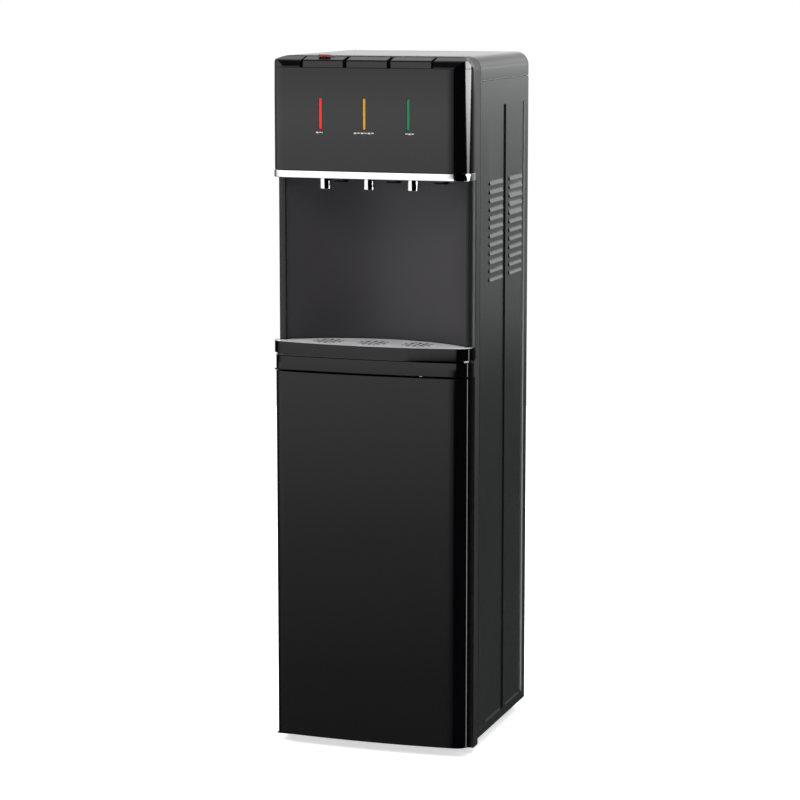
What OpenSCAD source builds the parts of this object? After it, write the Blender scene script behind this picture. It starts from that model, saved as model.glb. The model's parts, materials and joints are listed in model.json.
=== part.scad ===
// Floor-standing water dispenser that takes its bottle behind the lower door.
// Millimetres, +Z up, front towards -Y. The floor is Z = 0 and the origin is the
// middle of the footprint. Pieces are drawn from the joint line, where the front
// frame meets the side panels, and placed() moves them into the object's frame.

/* [Cabinet] */
// Width across the side panels
body_w = 310; // [306:1:380]
// Depth of the side panels behind the front frame
side_depth = 258; // [250:1:320]
// Gap between the side panels and the floor
side_lift = 17; // [15:1:22]
// Thickness of the steel sheet
sheet_t = 1; // [0.8:0.1:1.2]
// Wall of the plastic mouldings
wall = 3; // [2.6:0.1:3.6]
// Height of the top cover above the side panels
cover_h = 37; // [32:1:44]
// Radius of the top corners, seen from the front
top_r = 20; // [14:1:26]
// Space that the condenser takes behind the side panels
rear_depth = 45; // [40:1:60]
// Height of the base pan, from its lower face to the side panels
pan_h = 9; // [8:1:12]
// How far the base pan stands in from the side panels
pan_inset = 10; // [6:1:16]
// Radius of a foot
foot_r = 13; // [10:1:16]

/* [Front stack] */
// Height of the door
door_h = 561.5; // [540:0.5:680]
// Gap over the door, under the band panel
line_gap = 3; // [2.5:0.5:5]
// Height of the band panel between door and drip tray
band_h = 24; // [20:1:34]
// Height of the drip tray
tray_h = 18; // [16:1:26]
// Clear height of the cup niche, from tray rim to chrome trim
niche_h = 246.5; // [200:0.5:300]
// Height of the chrome trim
trim_h = 11; // [8:0.5:16]
// Height of the glossy fascia
fascia_h = 152; // [140:1:190]
// Height of the button row above the fascia
cap_h = 16.5; // [15:0.5:20]

/* [Front plan] */
// Distance from the joint line to the front of the fascia
front_depth = 57; // [54:1:66]
// Plan radius of the front corners
corner_r = 25; // [22:1:27]
// Depth of the front frame around fascia and niche
frame_d = 29; // [27:1:31]
// Depth of the front frame around the door
door_frame_d = 24; // [22:1:25]
// Width of each frame post, seen from the front
post_w = 13; // [11:1:14]
// Radius on the frame's outer edge beside the niche
niche_edge_r = 11; // [6:1:11]
// Bow of the fascia over its flat width
fascia_bow = 2; // [1:0.5:4]
// Bow of the door and the band panel
door_bow = 6; // [3:0.5:8]
// Bow of the drip tray's front
tray_bow = 14; // [10:1:18]
// How far the drip tray stands out past the fascia's corners
tray_lip = 1.5; // [0.5:0.5:4]
// How far the chrome trim stands out
trim_lip = 1; // [0.5:0.1:1.5]
// Radius of the niche's hollow back
niche_r = 234; // [224:1:260]
// Depth of the niche behind the joint line
niche_depth = 24; // [18:1:28]

/* [Door] */
// Distance of the door's inner face in front of the joint line
door_back = 34; // [33:1:36]
// Distance of the hinge axis in from the side of the door
hinge_in = 10; // [9.5:0.5:11]
// Distance of the hinge axis in front of the joint line
hinge_y = 44; // [43:0.5:45]
// Radius of the hinge pins
hinge_pin_r = 3; // [2:0.5:3]
// Gap between door and floor
door_lift = 14; // [13:1:16]

/* [Controls and taps] */
// Distance between neighbouring taps, buttons and lamps
tap_pitch = 68.2; // [66:0.1:76]
// Shift of the row of taps and buttons to the left
tap_shift = 4; // [0:0.5:5]
// Further shift of the lamps to the left
lamp_shift = 2.5; // [0:0.5:4]
// Width of a button
button_w = 62; // [50:1:63]
// Travel of a button
button_travel = 4; // [2:0.5:5]
// Radius of a push rod
rod_r = 3; // [2:0.5:3.5]
// Distance of the taps in front of the joint line
tap_y = 42; // [40:0.5:43]
// Outer radius of a nozzle
nozzle_r = 8.75; // [7:0.25:10]
// Bore radius of a nozzle
nozzle_bore_r = 6; // [4:0.5:6.5]
// Length of nozzle below the trim
nozzle_drop = 16.5; // [12:0.5:24]
// Width of a lamp
lamp_w = 4.5; // [4:0.5:7]
// Height of a lamp
lamp_h = 46; // [30:1:60]
// Height of the lamps' middle above the fascia's lower edge
lamp_z = 84.5; // [70:0.5:95]

/* [Side panel pressings] */
// Margin between joint line and the first pressed field
field_front = 40; // [30:1:50]
// Rib left between the two pressed fields
field_gap = 12; // [8:1:16]
// Margin behind the second pressed field
field_rear = 18; // [16:1:30]
// Depth of a pressed field
field_sink = 2; // [1.6:0.1:3]
// Margin under the pressed fields
field_low = 14; // [10:1:30]
// Margin over the pressed fields
field_high = 38; // [30:1:60]
// Louvres in each field
louvre_count = 12; // [6:1:14]
// Distance between neighbouring louvres
louvre_pitch = 13.15; // [12:0.05:14]
// Length of a louvre
louvre_l = 68; // [50:1:76]
// Height of a louvre's hood
louvre_h = 7; // [5:0.5:8]
// Height of the top louvre below the side panel's upper edge
louvre_top = 156; // [140:1:220]

/* [Drip grille] */
// Thickness of the grille plate
grille_t = 1.2; // [0.8:0.1:1.6]
// Distance between neighbouring pierced flowers
flower_pitch = 70; // [66:1:80]
// Shift of the grille's flowers to the left
flower_shift = 5; // [0:0.5:6]
// Petals in each flower
petals = 8; // [6:1:10]
// Outer radius of a flower
flower_r = 24; // [18:1:26]

/* [Condenser] */
// Number of passes of the condenser tube, an even number
passes = 14; // [8:2:16]
// Distance between neighbouring passes
pass_pitch = 38; // [24:1:42]
// Half length of a straight pass
pass_half = 96; // [70:1:110]
// Outer radius of the condenser tube
tube_r = 2.4; // [2:0.1:3]
// Radius of a condenser wire
wire_r = 0.7; // [0.5:0.1:1]
// Number of condenser wires on each side
wires = 19; // [9:2:25]

/* [Hidden] */
$fn = 64;

gap = 0.3;            // between pieces that move past each other
run = 0.05;           // radial clearance of a pin in its bore
cut = 1;              // overshoot of a cutting shape
half_w = body_w / 2;

// Heights of the front stack, from the floor up
door_top = door_lift + door_h;
band_z = door_top + line_gap;
shelf_z = band_z + band_h;
tray_z = shelf_z + gap;
tray_top = tray_z + tray_h;
trim_z = tray_top + niche_h;
fascia_z = trim_z + trim_h;
deck_z = fascia_z + fascia_h;
top_z = deck_z + cap_h;
seam_z = top_z - cover_h;
split_z = door_top + 1;
pan_z = side_lift - pan_h;

// Depths, from the joint line
side_front = front_depth + fascia_bow;
door_front = front_depth + door_bow;
tray_front = front_depth + tray_lip + tray_bow;
back_y = side_depth;
rear_y = side_depth + rear_depth;
joint_y = (tray_front - rear_y) / 2;

// Sides that draw half a front's bow, and one of its corners
bow_steps = 12;
corner_steps = 14;

// Radius of a front whose bow is b between corners of radius r
function bow_radius(hw, r, b) = ((hw - r) * (hw - r) + b * b) / (2 * b);
fascia_big_r = bow_radius(half_w, corner_r, fascia_bow);
door_big_r = bow_radius(half_w, corner_r, door_bow);
tray_half = half_w + tray_lip + 1;
tray_corner = corner_r + tray_lip + 1;
tray_big_r = bow_radius(tray_half, tray_corner, tray_bow);

// X of tap i, from -1 on the left to 1 on the right
function tap(i) = i * tap_pitch - tap_shift;

// Width and depth of the groove where two outer skins meet
seam_w = 1.2;
seam_d = 1.5;

// Niche: a hollow back drawn as an arc about this centre
niche_cy = niche_depth - niche_r;
post_in = half_w - post_w;

// Hinge axis and button row
hinge_x = -(half_w - hinge_in);
button_front = front_depth - wall - 0.4;
button_back = frame_d + wall;
deck_edge_r = 11.5;
deck_floor_t = 2.5;
button_low = deck_z - 12.5;
deck_floor = button_low - button_travel - 1.5 - deck_floor_t;
button_boss_z = deck_z + 7.5;
valve_z = trim_z + 4.5;
valve_h = 33;

// Machine bay between the two shelves
mid_z = band_z + 1.5;
mid_top = mid_z + sheet_t;
upper_z = fascia_z - 48;
upper_top = upper_z + sheet_t;
comp_x = -85;
comp_y = 165;
comp_r = 60;
comp_z = mid_top + 8;
hot_x = 85;
hot_y = 165;
hot_r = 50;
jacket_r = 58;
cold_x = -20;
cold_y = 165;
cold_r = 60;
probe_x = -(half_w - 33);
probe_y = back_y - 26;
hose_r = 4;
pipe_r = 3;
drain_x = hot_x + 46;
drain_z = mid_top + 18;
cond_y = rear_y - 2 * wire_r - tube_r - 0.05;
cond_top = trim_z - 23;
cond_low = cond_top - (passes - 1) * pass_pitch;
riser_x = -(half_w - 20);
riser_z = cond_top - 144;
drop_x = -112;
switch_x = -100;
heat_z = deck_z - 70;
cool_z = heat_z - 42;
gland_x = half_w - 25;
gland_z = mid_top + 62;

black = [0.045, 0.045, 0.05];
satin = [0.17, 0.18, 0.18];
steel = [0.62, 0.64, 0.66];
chrome = [0.82, 0.83, 0.85];
copper = [0.72, 0.42, 0.26];
foam = [0.88, 0.88, 0.84];

module placed() translate([0, joint_y, 0]) children();
module both_sides() {
    children();
    mirror([1, 0, 0]) children();
}
// A box between two corners
module block(a, b) translate(a) cube(b - a);
// An upright round bar
module post(x, y, z0, z1, r) translate([x, y, z0]) cylinder(r = r, h = z1 - z0);
// A round bar along Y
module bar_y(x, z, y0, y1, r)
    translate([x, y0, z]) rotate([-90, 0, 0]) cylinder(r = r, h = y1 - y0);
// A round bar along X
module bar_x(y, z, x0, x1, r)
    translate([x0, y, z]) rotate([0, 90, 0]) cylinder(r = r, h = x1 - x0);
// Round pipe through the points, with a ball at each bend
module pipe(points, r) {
    for (i = [0 : len(points) - 2]) {
        d = points[i + 1] - points[i];
        translate(points[i])
            rotate([0, acos(d[2] / norm(d)), atan2(d[1], d[0])])
                cylinder(r = r, h = norm(d), $fn = 32);
    }
    for (i = [1 : 1 : len(points) - 2]) translate(points[i]) sphere(r = r + 0.2, $fn = 32);
}
// Extrudes a Y-Z outline along X between x0 and x1
module along_x(x0, x1)
    translate([x0, 0, 0]) rotate([90, 0, 90]) linear_extrude(x1 - x0) children();
// Extrudes an X-Z outline along Y between y0 and y1
module along_y(y0, y1)
    translate([0, y1, 0]) rotate([90, 0, 0]) linear_extrude(y1 - y0) children();

// Plan of a bowed front: rounded corners tangent to a shallow arc, cut off at back
function bow_outline(hw, apex, r, big_r, far) = let (
    cx = hw - r,
    big_y = big_r - apex,
    cy = big_y - sqrt(pow(big_r - r, 2) - cx * cx),
    // The arcs meet on the line through both centres
    meet = atan2(cx, big_y - cy),
    right = concat(
        [for (i = [0 : bow_steps]) let (a = meet * i / bow_steps)
            [big_r * sin(a), big_y - big_r * cos(a)]],
        [for (i = [1 : corner_steps]) let (a = meet + (90 - meet) * i / corner_steps)
            [cx + r * sin(a), cy - r * cos(a)]],
        [[hw, far]])
) concat(right, [for (i = [len(right) - 1 : -1 : 1]) [-right[i][0], right[i][1]]]);

module bowed_plan(hw, apex, r, big_r, back) intersection() {
    polygon(bow_outline(hw, apex, r, big_r, back + 2 * corner_r));
    translate([-hw - cut, -apex - cut]) square([2 * (hw + cut), apex + cut + back]);
}
module fascia_plan(inset, back)
    bowed_plan(half_w - inset, side_front - inset, corner_r - inset,
        fascia_big_r - inset, back);
module door_plan(inset, back)
    bowed_plan(half_w - inset, door_front - inset, corner_r - inset,
        door_big_r - inset, back);
module tray_plan(inset, back)
    bowed_plan(tray_half - inset, tray_front - inset, tray_corner - inset,
        tray_big_r - inset, back);
// Plan of the niche behind the frame's front, out to radius r of its hollow back
module niche_plan(r, hw, front)
    intersection() {
        translate([0, niche_cy]) circle(r = r, $fn = 360);
        translate([-hw, -front]) square([2 * hw, front + niche_depth + 20]);
    }
// Front view of the body's top: square below, both top corners rounded
module top_outline(inset, low) {
    r = top_r - inset;
    hw = half_w - inset;
    high = top_z - inset;
    translate([-hw, low]) square([2 * hw, high - r - low]);
    translate([-hw + r, high - r - cut]) square([2 * (hw - r), r + cut]);
    both_sides() intersection() {
        translate([hw - r, high - r]) circle(r = r, $fn = 96);
        translate([hw - r, high - r]) square(r + cut);
    }
}

module foot_places()
    for (x = [-1, 1], y = [30, back_y - 30])
        translate([x * (half_w - 37), y, 0]) children();

module base_pan() color(black) placed() {
    in_x = half_w - pan_inset;
    difference() {
        block([-in_x, 0, pan_z], [in_x, back_y - 1, side_lift]);
        block([-in_x + wall, wall, pan_z - cut],
            [in_x - wall, back_y - 1 - wall, side_lift - wall]);
    }
    foot_places() post(0, 0, pan_z, side_lift - wall + 0.5, foot_r);
    // Low ring that centres the bottle
    translate([0, back_y / 2 - 8, side_lift])
        rotate_extrude($fn = 128) translate([118, 0]) square([4, 2.5]);
}

module feet() color("dimgray") placed()
    foot_places() cylinder(r = foot_r - 1, h = pan_z);

module lower_frame() color(satin) placed() {
    both_sides() {
        block([post_in, -door_frame_d, pan_z], [half_w, -seam_w, split_z - 0.5]);
        block([post_in, -door_frame_d, pan_z], [half_w - seam_d, 0, split_z - 0.5]);
    }
    block([-post_in - cut, -door_frame_d, pan_z], [post_in + cut, 0, side_lift]);
    block([-post_in - cut, -12, split_z - 9], [post_in + cut, 0, split_z - 0.5]);
}

module upper_frame() color(satin) placed() {
    both_sides() difference() {
        union() {
            block([post_in, -frame_d, split_z], [half_w, -seam_w, seam_z]);
            block([post_in, -frame_d, split_z], [half_w - seam_d, 0, seam_z]);
        }
        // Rounded outer edge beside the niche
        difference() {
            block([half_w - niche_edge_r, -frame_d - cut, shelf_z],
                [half_w + cut, -frame_d + niche_edge_r, trim_z]);
            post(half_w - niche_edge_r, -frame_d + niche_edge_r, shelf_z - cut,
                trim_z + cut, niche_edge_r);
        }
        // Seats the ends of the tray support and the tap plate
        block([post_in - cut, -frame_d - cut, shelf_z - wall],
            [post_in + 0.4, cut, shelf_z]);
    }
    // Arch over the controls
    along_y(-frame_d, -seam_w) difference() {
        top_outline(0, seam_z - 0.5);
        top_outline(wall, seam_z - 2);
    }
    along_y(-frame_d, 0) difference() {
        top_outline(seam_d, seam_z - 0.5);
        top_outline(wall, seam_z - 2);
    }
    // Rail that carries the control board
    block([-post_in - cut, -12.4, deck_z - 45], [post_in + cut, -9, deck_z - 30]);
    // Rail behind the band panel
    block([-post_in - cut, -wall, band_z + 4], [post_in + cut, 0, shelf_z - wall]);
}

// One louvre: a slanted hood with closed ends, open below; its lower edge is Z = 0
module louvre_hood(x0) {
    x1 = x0 + field_sink;
    lip = 0.8;
    translate([0, louvre_l / 2, 0]) rotate([90, 0, 0]) linear_extrude(louvre_l)
        polygon([[x0 - 0.5, louvre_h + 0.6], [x0, louvre_h + 0.6], [x1, 0.4],
            [x1, 0], [x1 - lip, 0], [x0 - 0.5, louvre_h - 1.4]]);
    for (y = [-louvre_l / 2 + lip, louvre_l / 2])
        translate([0, y, 0]) rotate([90, 0, 0]) linear_extrude(lip)
            polygon([[x0 - 0.5, louvre_h + 0.6], [x0, louvre_h + 0.6], [x1, 0.4],
                [x1, 0], [x0 - 0.5, 0]]);
}
field_w = (side_depth - field_front - field_gap - field_rear) / 2;
field_ys = [field_front, field_front + field_w + field_gap];
screw_zs = [side_lift + 45, split_z - 230, mid_top + 70, seam_z - 50];
// The right-hand panel, outer face at +X; the left one mirrors it
module side_panel() {
    t = sheet_t;
    skin = half_w - t;
    sunk = half_w - field_sink;
    z0 = side_lift + field_low;
    z1 = seam_z - field_high;
    difference() {
        union() {
            block([skin, 0, side_lift], [half_w, back_y, seam_z]);
            block([post_in, 0, side_lift], [half_w, t, seam_z]);
            block([half_w - 15, back_y - t, side_lift], [half_w, back_y, seam_z]);
            block([half_w - 22, 0, side_lift], [half_w, back_y, side_lift + t]);
            block([half_w - 8, 0, seam_z - t], [half_w, back_y, seam_z]);
            for (y = field_ys)
                block([sunk - t, y - t, z0 - t], [skin + t / 2, y + field_w + t, z1 + t]);
        }
        for (y = field_ys)
            block([sunk, y, z0], [half_w + cut, y + field_w, z1]);
        for (y = field_ys, i = [0 : louvre_count - 1])
            translate([0, y + field_w / 2, seam_z - louvre_top - i * louvre_pitch])
                block([sunk - t - cut, -louvre_l / 2 + 2, 0],
                    [sunk + cut, louvre_l / 2 - 2, louvre_h - 1.5]);
        for (z = screw_zs) bar_y(half_w - 9, z, back_y - 2 * t, back_y + cut, 2);
    }
    for (y = field_ys, i = [0 : louvre_count - 1])
        translate([0, y + field_w / 2, seam_z - louvre_top - i * louvre_pitch])
            louvre_hood(sunk);
}
module right_side_panel() color(satin) placed() side_panel();
module left_side_panel() color(satin) placed() mirror([1, 0, 0]) side_panel();

module back_panel() color(satin) placed() difference() {
    block([-half_w + 3, back_y, side_lift + 3], [half_w - 3, back_y + sheet_t, seam_z - 2]);
    both_sides() for (z = screw_zs)
        bar_y(half_w - 9, z, back_y - cut, back_y + sheet_t + cut, 2);
    for (z = [heat_z, cool_z])
        block([switch_x - 9, back_y - cut, z - 13],
            [switch_x + 9, back_y + sheet_t + cut, z + 13]);
    bar_y(gland_x, gland_z, back_y - cut, back_y + sheet_t + cut, 8);
    bar_y(drain_x, drain_z, back_y - cut, back_y + sheet_t + cut, 8.2);
    for (p = [[drop_x, cond_top], [riser_x, riser_z]])
        bar_y(p[0], p[1], back_y - cut, back_y + sheet_t + cut, pipe_r + 1);
    // Vent slots of the machine bay
    for (x = [-60 : 20 : 60])
        block([x - 3, back_y - cut, mid_top + 20],
            [x + 3, back_y + sheet_t + cut, mid_top + 100]);
}

module top_cover() color(satin) placed() {
    t = 2.5;
    along_y(0, back_y) difference() {
        union() {
            top_outline(0, seam_z + seam_w);
            top_outline(seam_d, seam_z);
        }
        top_outline(t, seam_z - cut);
    }
    along_y(back_y - t, back_y) top_outline((seam_d + t) / 2, seam_z);
}

module machine_shelves() color(steel) placed() {
    x = half_w - sheet_t - 2.5;
    // Shelf over the bottle bay
    difference() {
        union() {
            block([-x, 2, mid_z], [x, back_y - 2, mid_top]);
            both_sides() block([x - 1, 2, mid_z - 12], [x, back_y - 2, mid_top]);
        }
        post(probe_x, probe_y, mid_z - cut, mid_top + cut, hose_r + 3);
    }
    // Shelf under the cold tank
    difference() {
        block([-x, 45, upper_z], [x, back_y - 20, upper_top]);
        post(comp_x + 25, comp_y - 15, upper_z - cut, upper_top + cut, 8);
        post(hot_x + 25, hot_y, upper_z - cut, upper_top + cut, hose_r + 2);
    }
    both_sides() block([x - sheet_t, 45, mid_top], [x, back_y - 20, upper_z]);
}

module niche_panel() color(black) placed()
    translate([0, 0, shelf_z]) linear_extrude(valve_z - wall - shelf_z) difference() {
        niche_plan(niche_r + wall, post_in, frame_d - 3);
        niche_plan(niche_r, post_in + cut, frame_d + cut);
    }

// Front moulding with the shelf that the drip tray rests on
module band_panel() color(black) placed() {
    translate([0, 0, band_z]) linear_extrude(band_h - wall) difference() {
        door_plan(0, -frame_d);
        door_plan(wall, -frame_d + cut);
    }
    // Tray support, set back to leave a dark line under the tray
    translate([0, 0, shelf_z - wall]) linear_extrude(wall) {
        door_plan(seam_d, -frame_d);
        niche_plan(niche_r + wall, post_in, frame_d + 0.5);
    }
    // Seat of the upper hinge
    intersection() {
        block([-half_w, -front_depth + 1, band_z], [-half_w + 26, -door_back - 2, shelf_z]);
        translate([0, 0, band_z]) linear_extrude(band_h) door_plan(wall / 2, -door_back);
    }
}

// Ceiling of the niche, which carries the taps
module tap_plate() color(black) placed()
    translate([0, 0, valve_z - wall]) linear_extrude(wall) difference() {
        union() {
            fascia_plan(wall + 0.1, -frame_d);
            niche_plan(niche_r + wall, post_in, frame_d + 0.5);
        }
        for (i = [-1 : 1]) translate([tap(i), -tap_y]) circle(r = nozzle_r + run);
    }

module chrome_trim() color(chrome) placed()
    translate([0, 0, trim_z]) linear_extrude(trim_h) difference() {
        fascia_plan(-trim_lip, -frame_d);
        fascia_plan(wall, -frame_d + cut);
    }

module control_fascia() color(black) placed() difference() {
    translate([0, 0, fascia_z]) linear_extrude(fascia_h) difference() {
        fascia_plan(0, -frame_d);
        fascia_plan(wall, -frame_d + cut);
    }
    for (i = [-1 : 1])
        translate([tap(i) - lamp_shift, -side_front, fascia_z + lamp_z])
            cube([lamp_w, 4 * wall, lamp_h], center = true);
}

// A lamp lens: a bar that fills its slot and a flange behind the fascia
module lamp(i) placed() {
    inner = side_front - wall - 0.9;
    w = lamp_w / 2 - 0.1;
    h = lamp_h / 2 - 0.1;
    translate([tap(i) - lamp_shift, 0, fascia_z + lamp_z]) {
        block([-w, -side_front + 1.4, -h], [w, -inner, h]);
        block([-w - 2, -inner, -h - 2], [w + 2, -inner + 1.5, h + 2]);
    }
}
module hot_lamp() color("red") lamp(-1);
module low_water_lamp() color("gold") lamp(0);
module cold_lamp() color("green") lamp(1);

module circuit_boards() color("darkgreen") placed() {
    // Lamp board behind the lenses
    y = -side_front + wall + 0.9 + 1.5;
    block([tap(-1) - 14, y, fascia_z + lamp_z - 8], [tap(1) + 14, y + 1.6, fascia_z + lamp_z + 8]);
    // Control board on the frame's rail
    block([-60, -14, deck_z - 128], [60, -12.4, deck_z - 32]);
}

// Point where the upper tangent from p meets the circle of radius r about c
function tangent_point(c, r, p) =
    let (d = p - c, a = atan2(d[1], d[0]) + acos(r / norm(d)))
    c + r * [cos(a), sin(a)];
// Y-Z outline of the button row: rounded front edge, then a rising top
module deck_profile(front, back, low, edge_r, lower_by) {
    c = [-front + edge_r, deck_z + cap_h - 4.5 - edge_r - lower_by];
    p = [-back, top_z - 0.5 - lower_by];
    translate(c) circle(r = edge_r, $fn = 96);
    polygon([tangent_point(c, edge_r, p), p, [-back, low], [c[0], low], c]);
    translate([-front, low]) square([edge_r, c[1] - low]);
}

module deck_plan() {
    cx = half_w - corner_r;
    cy = corner_r - front_depth;
    both_sides() intersection() {
        translate([cx, cy]) circle(r = corner_r, $fn = 96);
        translate([cx, -front_depth]) square(corner_r);
    }
    translate([-cx, -front_depth]) square([2 * cx, corner_r]);
    translate([-half_w, cy]) square([2 * half_w, -frame_d - cy]);
}

module button_deck() color(black) placed() {
    pocket = 1.5 * tap_pitch + 0.6;
    difference() {
        intersection() {
            along_x(-half_w, half_w)
                deck_profile(front_depth, frame_d, deck_z, deck_edge_r, 0);
            along_y(-side_front, -frame_d) top_outline(0, deck_z);
            translate([0, 0, deck_z]) linear_extrude(cap_h) deck_plan();
        }
        block([tap(0) - pocket, -side_front - cut, deck_z - cut],
            [tap(0) + pocket, -frame_d - wall + 0.4, top_z + cut]);
        // Hollow under each end
        both_sides() block([pocket + tap_shift + wall, -front_depth + 9, deck_z - cut],
            [half_w - wall - 9, -frame_d - wall, deck_z + cap_h - 8]);
    }
    // Rear wall and floor that guide the push rods
    in_x = half_w - corner_r;
    block([-in_x, -frame_d - wall + 0.4, deck_floor], [in_x, -frame_d, deck_z + 1]);
    difference() {
        block([-in_x, -front_depth + wall + 1, deck_floor],
            [in_x, -frame_d - 1, deck_floor + deck_floor_t]);
        for (i = [-1 : 1])
            post(tap(i), -tap_y, deck_floor - cut, deck_z, rod_r + run);
    }
    // Ribs between the buttons
    for (i = [-0.5, 0.5])
        block([tap(i) - 1.8, -front_depth + wall + 3.5, deck_floor],
            [tap(i) + 1.8, -frame_d - 1, deck_z - 2]);
}

module button(i, slot = false) placed() {
    w = button_w / 2;
    translate([tap(i), 0, 0]) difference() {
        union() {
            difference() {
                along_x(-w, w)
                    deck_profile(button_front, button_back, button_low, 2.5, 0.6);
                along_x(-w + 2, w - 2)
                    deck_profile(button_front - 2, button_back + 2,
                        button_low - cut, 1.5, 2.6);
            }
            post(0, -tap_y, button_boss_z, top_z - 4.6, 4.6);
        }
        // Slot that the child lock slides in
        if (slot) block([-13, -button_back - 6.2, deck_z + 9], [13, -button_back - 2.4, top_z]);
    }
}
module hot_button() color(black) button(-1, true);
module room_button() color(black) button(0);
module cold_button() color(black) button(1);

module push_rod(i) color("whitesmoke") placed()
    post(tap(i), -tap_y, valve_z + valve_h - 12, button_boss_z, rod_r);
module hot_push_rod() push_rod(-1);
module room_push_rod() push_rod(0);
module cold_push_rod() push_rod(1);

// Compression spring: a wire of radius w swept along a helix of radius r
module coil_spring(r, w, length, turns) {
    steps = 14;
    sides = 6;
    rings = turns * steps;
    function on_helix(k) =
        [r * cos(360 * k / steps), r * sin(360 * k / steps), w + (length - 2 * w) * k / rings];
    points = [for (k = [0 : rings], s = [0 : sides - 1])
        let (a = 360 * k / steps, b = 360 * s / sides)
        on_helix(k) + w * [cos(b) * cos(a), cos(b) * sin(a), sin(b)]];
    faces = concat(
        [[for (s = [0 : sides - 1]) s]],
        [for (k = [0 : rings - 1], s = [0 : sides - 1])
            let (n = (s + 1) % sides, a = k * sides, b = a + sides)
            [a + n, a + s, b + s, b + n]],
        [[for (s = [sides - 1 : -1 : 0]) rings * sides + s]]);
    polyhedron(points, faces);
}
module button_spring(i) color(steel) placed()
    translate([tap(i), -tap_y, deck_floor + deck_floor_t + 0.1])
        coil_spring(5.4, 0.5, button_boss_z - deck_floor - deck_floor_t - 0.3, 6);
module hot_spring() button_spring(-1);
module room_spring() button_spring(0);
module cold_spring() button_spring(1);

module child_lock() color("crimson") placed()
    translate([tap(-1) - 3, -button_back - 4.3, 0]) {
        block([-9, -4.5, top_z - 1], [9, 2.2, top_z + 2]);
        block([-3, -1.4, top_z - 5], [3, 1.4, top_z - 0.9]);
    }

module tap_valves() color("dimgray") placed()
    for (i = [-1 : 1]) translate([tap(i), -tap_y, valve_z]) {
        difference() {
            cylinder(r = 11, h = valve_h);
            translate([0, 0, valve_h - 18]) cylinder(r = rod_r + run, h = 18 + cut);
            translate([0, 0, -cut]) cylinder(r = nozzle_bore_r, h = 10 + cut);
        }
        // Hose barb
        bar_y(0, 16, 10, 20, hose_r);
    }

module nozzle(i) color(chrome) placed()
    translate([tap(i), -tap_y, trim_z - nozzle_drop]) difference() {
        cylinder(r = nozzle_r, h = valve_z - trim_z + nozzle_drop);
        translate([0, 0, -cut]) cylinder(r = nozzle_bore_r, h = 60);
    }
module hot_nozzle() nozzle(-1);
module room_nozzle() nozzle(0);
module cold_nozzle() nozzle(1);

tray_rear_half = post_in - 0.6;
tray_rear_r = niche_r - 0.6;
module tray_outline(inset) {
    tray_plan(inset, -frame_d - 0.5 - inset);
    niche_plan(tray_rear_r - inset, tray_rear_half - inset, frame_d + 6);
}
module drip_tray() color(black) placed() difference() {
    translate([0, 0, tray_z]) linear_extrude(tray_h) tray_outline(0);
    translate([0, 0, tray_z + wall]) linear_extrude(tray_h) tray_outline(wall);
    translate([0, 0, tray_top - grille_t - 0.7]) linear_extrude(tray_h) tray_outline(1.6);
}

// One pierced flower: round-ended petals about a centre hole
module flower() {
    circle(r = 3.4, $fn = 32);
    slot_r = 2.4;
    inner = 10.2;
    outer = flower_r - slot_r - 3.2;
    for (i = [0 : petals - 1]) rotate(i * 360 / petals) {
        translate([inner, -slot_r]) square([outer - inner, 2 * slot_r]);
        translate([inner, 0]) circle(r = slot_r, $fn = 32);
        translate([outer, 0]) circle(r = slot_r, $fn = 32);
    }
    for (i = [0 : petals - 1]) rotate((i + 0.5) * 360 / petals)
        translate([flower_r - slot_r, 0]) circle(r = slot_r, $fn = 32);
}
module drip_grille() color(chrome) placed()
    translate([0, 0, tray_top - grille_t - 0.5]) linear_extrude(grille_t) difference() {
        tray_outline(1.9);
        for (i = [-1 : 1]) translate([i * flower_pitch - flower_shift, -24]) flower();
    }

module door_shell() color(black) placed() {
    difference() {
        translate([0, 0, door_lift]) linear_extrude(door_h) door_plan(0, -door_back);
        translate([0, 0, door_lift + wall]) linear_extrude(door_h - 2 * wall)
            door_plan(wall, -door_back + cut);
        for (z = [door_lift, door_top - 13])
            post(hinge_x, -hinge_y, z - cut, z + 13 + cut, hinge_pin_r + run);
    }
    // Hinge bosses
    for (z = [door_lift, door_top - 13])
        intersection() {
            difference() {
                post(hinge_x, -hinge_y, z, z + 13, hinge_pin_r + 4);
                post(hinge_x, -hinge_y, z - cut, z + 13 + cut, hinge_pin_r + run);
            }
            translate([0, 0, z]) linear_extrude(13) door_plan(0, -door_back);
        }
}
liner_t = 2;
module door_liner() color("dimgray") placed() {
    x = half_w - wall - 1;
    block([hinge_x + hinge_pin_r + 5, -door_back - liner_t, door_lift + wall + 0.3],
        [x, -door_back, door_top - wall - 0.3]);
    // Stiffening ribs
    for (z = [door_lift + 120 : 110 : door_top - 80])
        block([hinge_x + 30, -door_back - liner_t - 8, z], [x - 20, -door_back - 1, z + 2]);
}

catch_z = door_top - 60;
module strike_plate() color(steel) placed()
    block([post_in, -door_back, catch_z], [half_w - 5, -door_back + 1.3, catch_z + 36]);
module magnetic_catch() color(black) placed()
    block([post_in + 1, -door_back + 1.3 + 0.5, catch_z - 2],
        [half_w - 4, -door_frame_d, catch_z + 38]);

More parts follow.
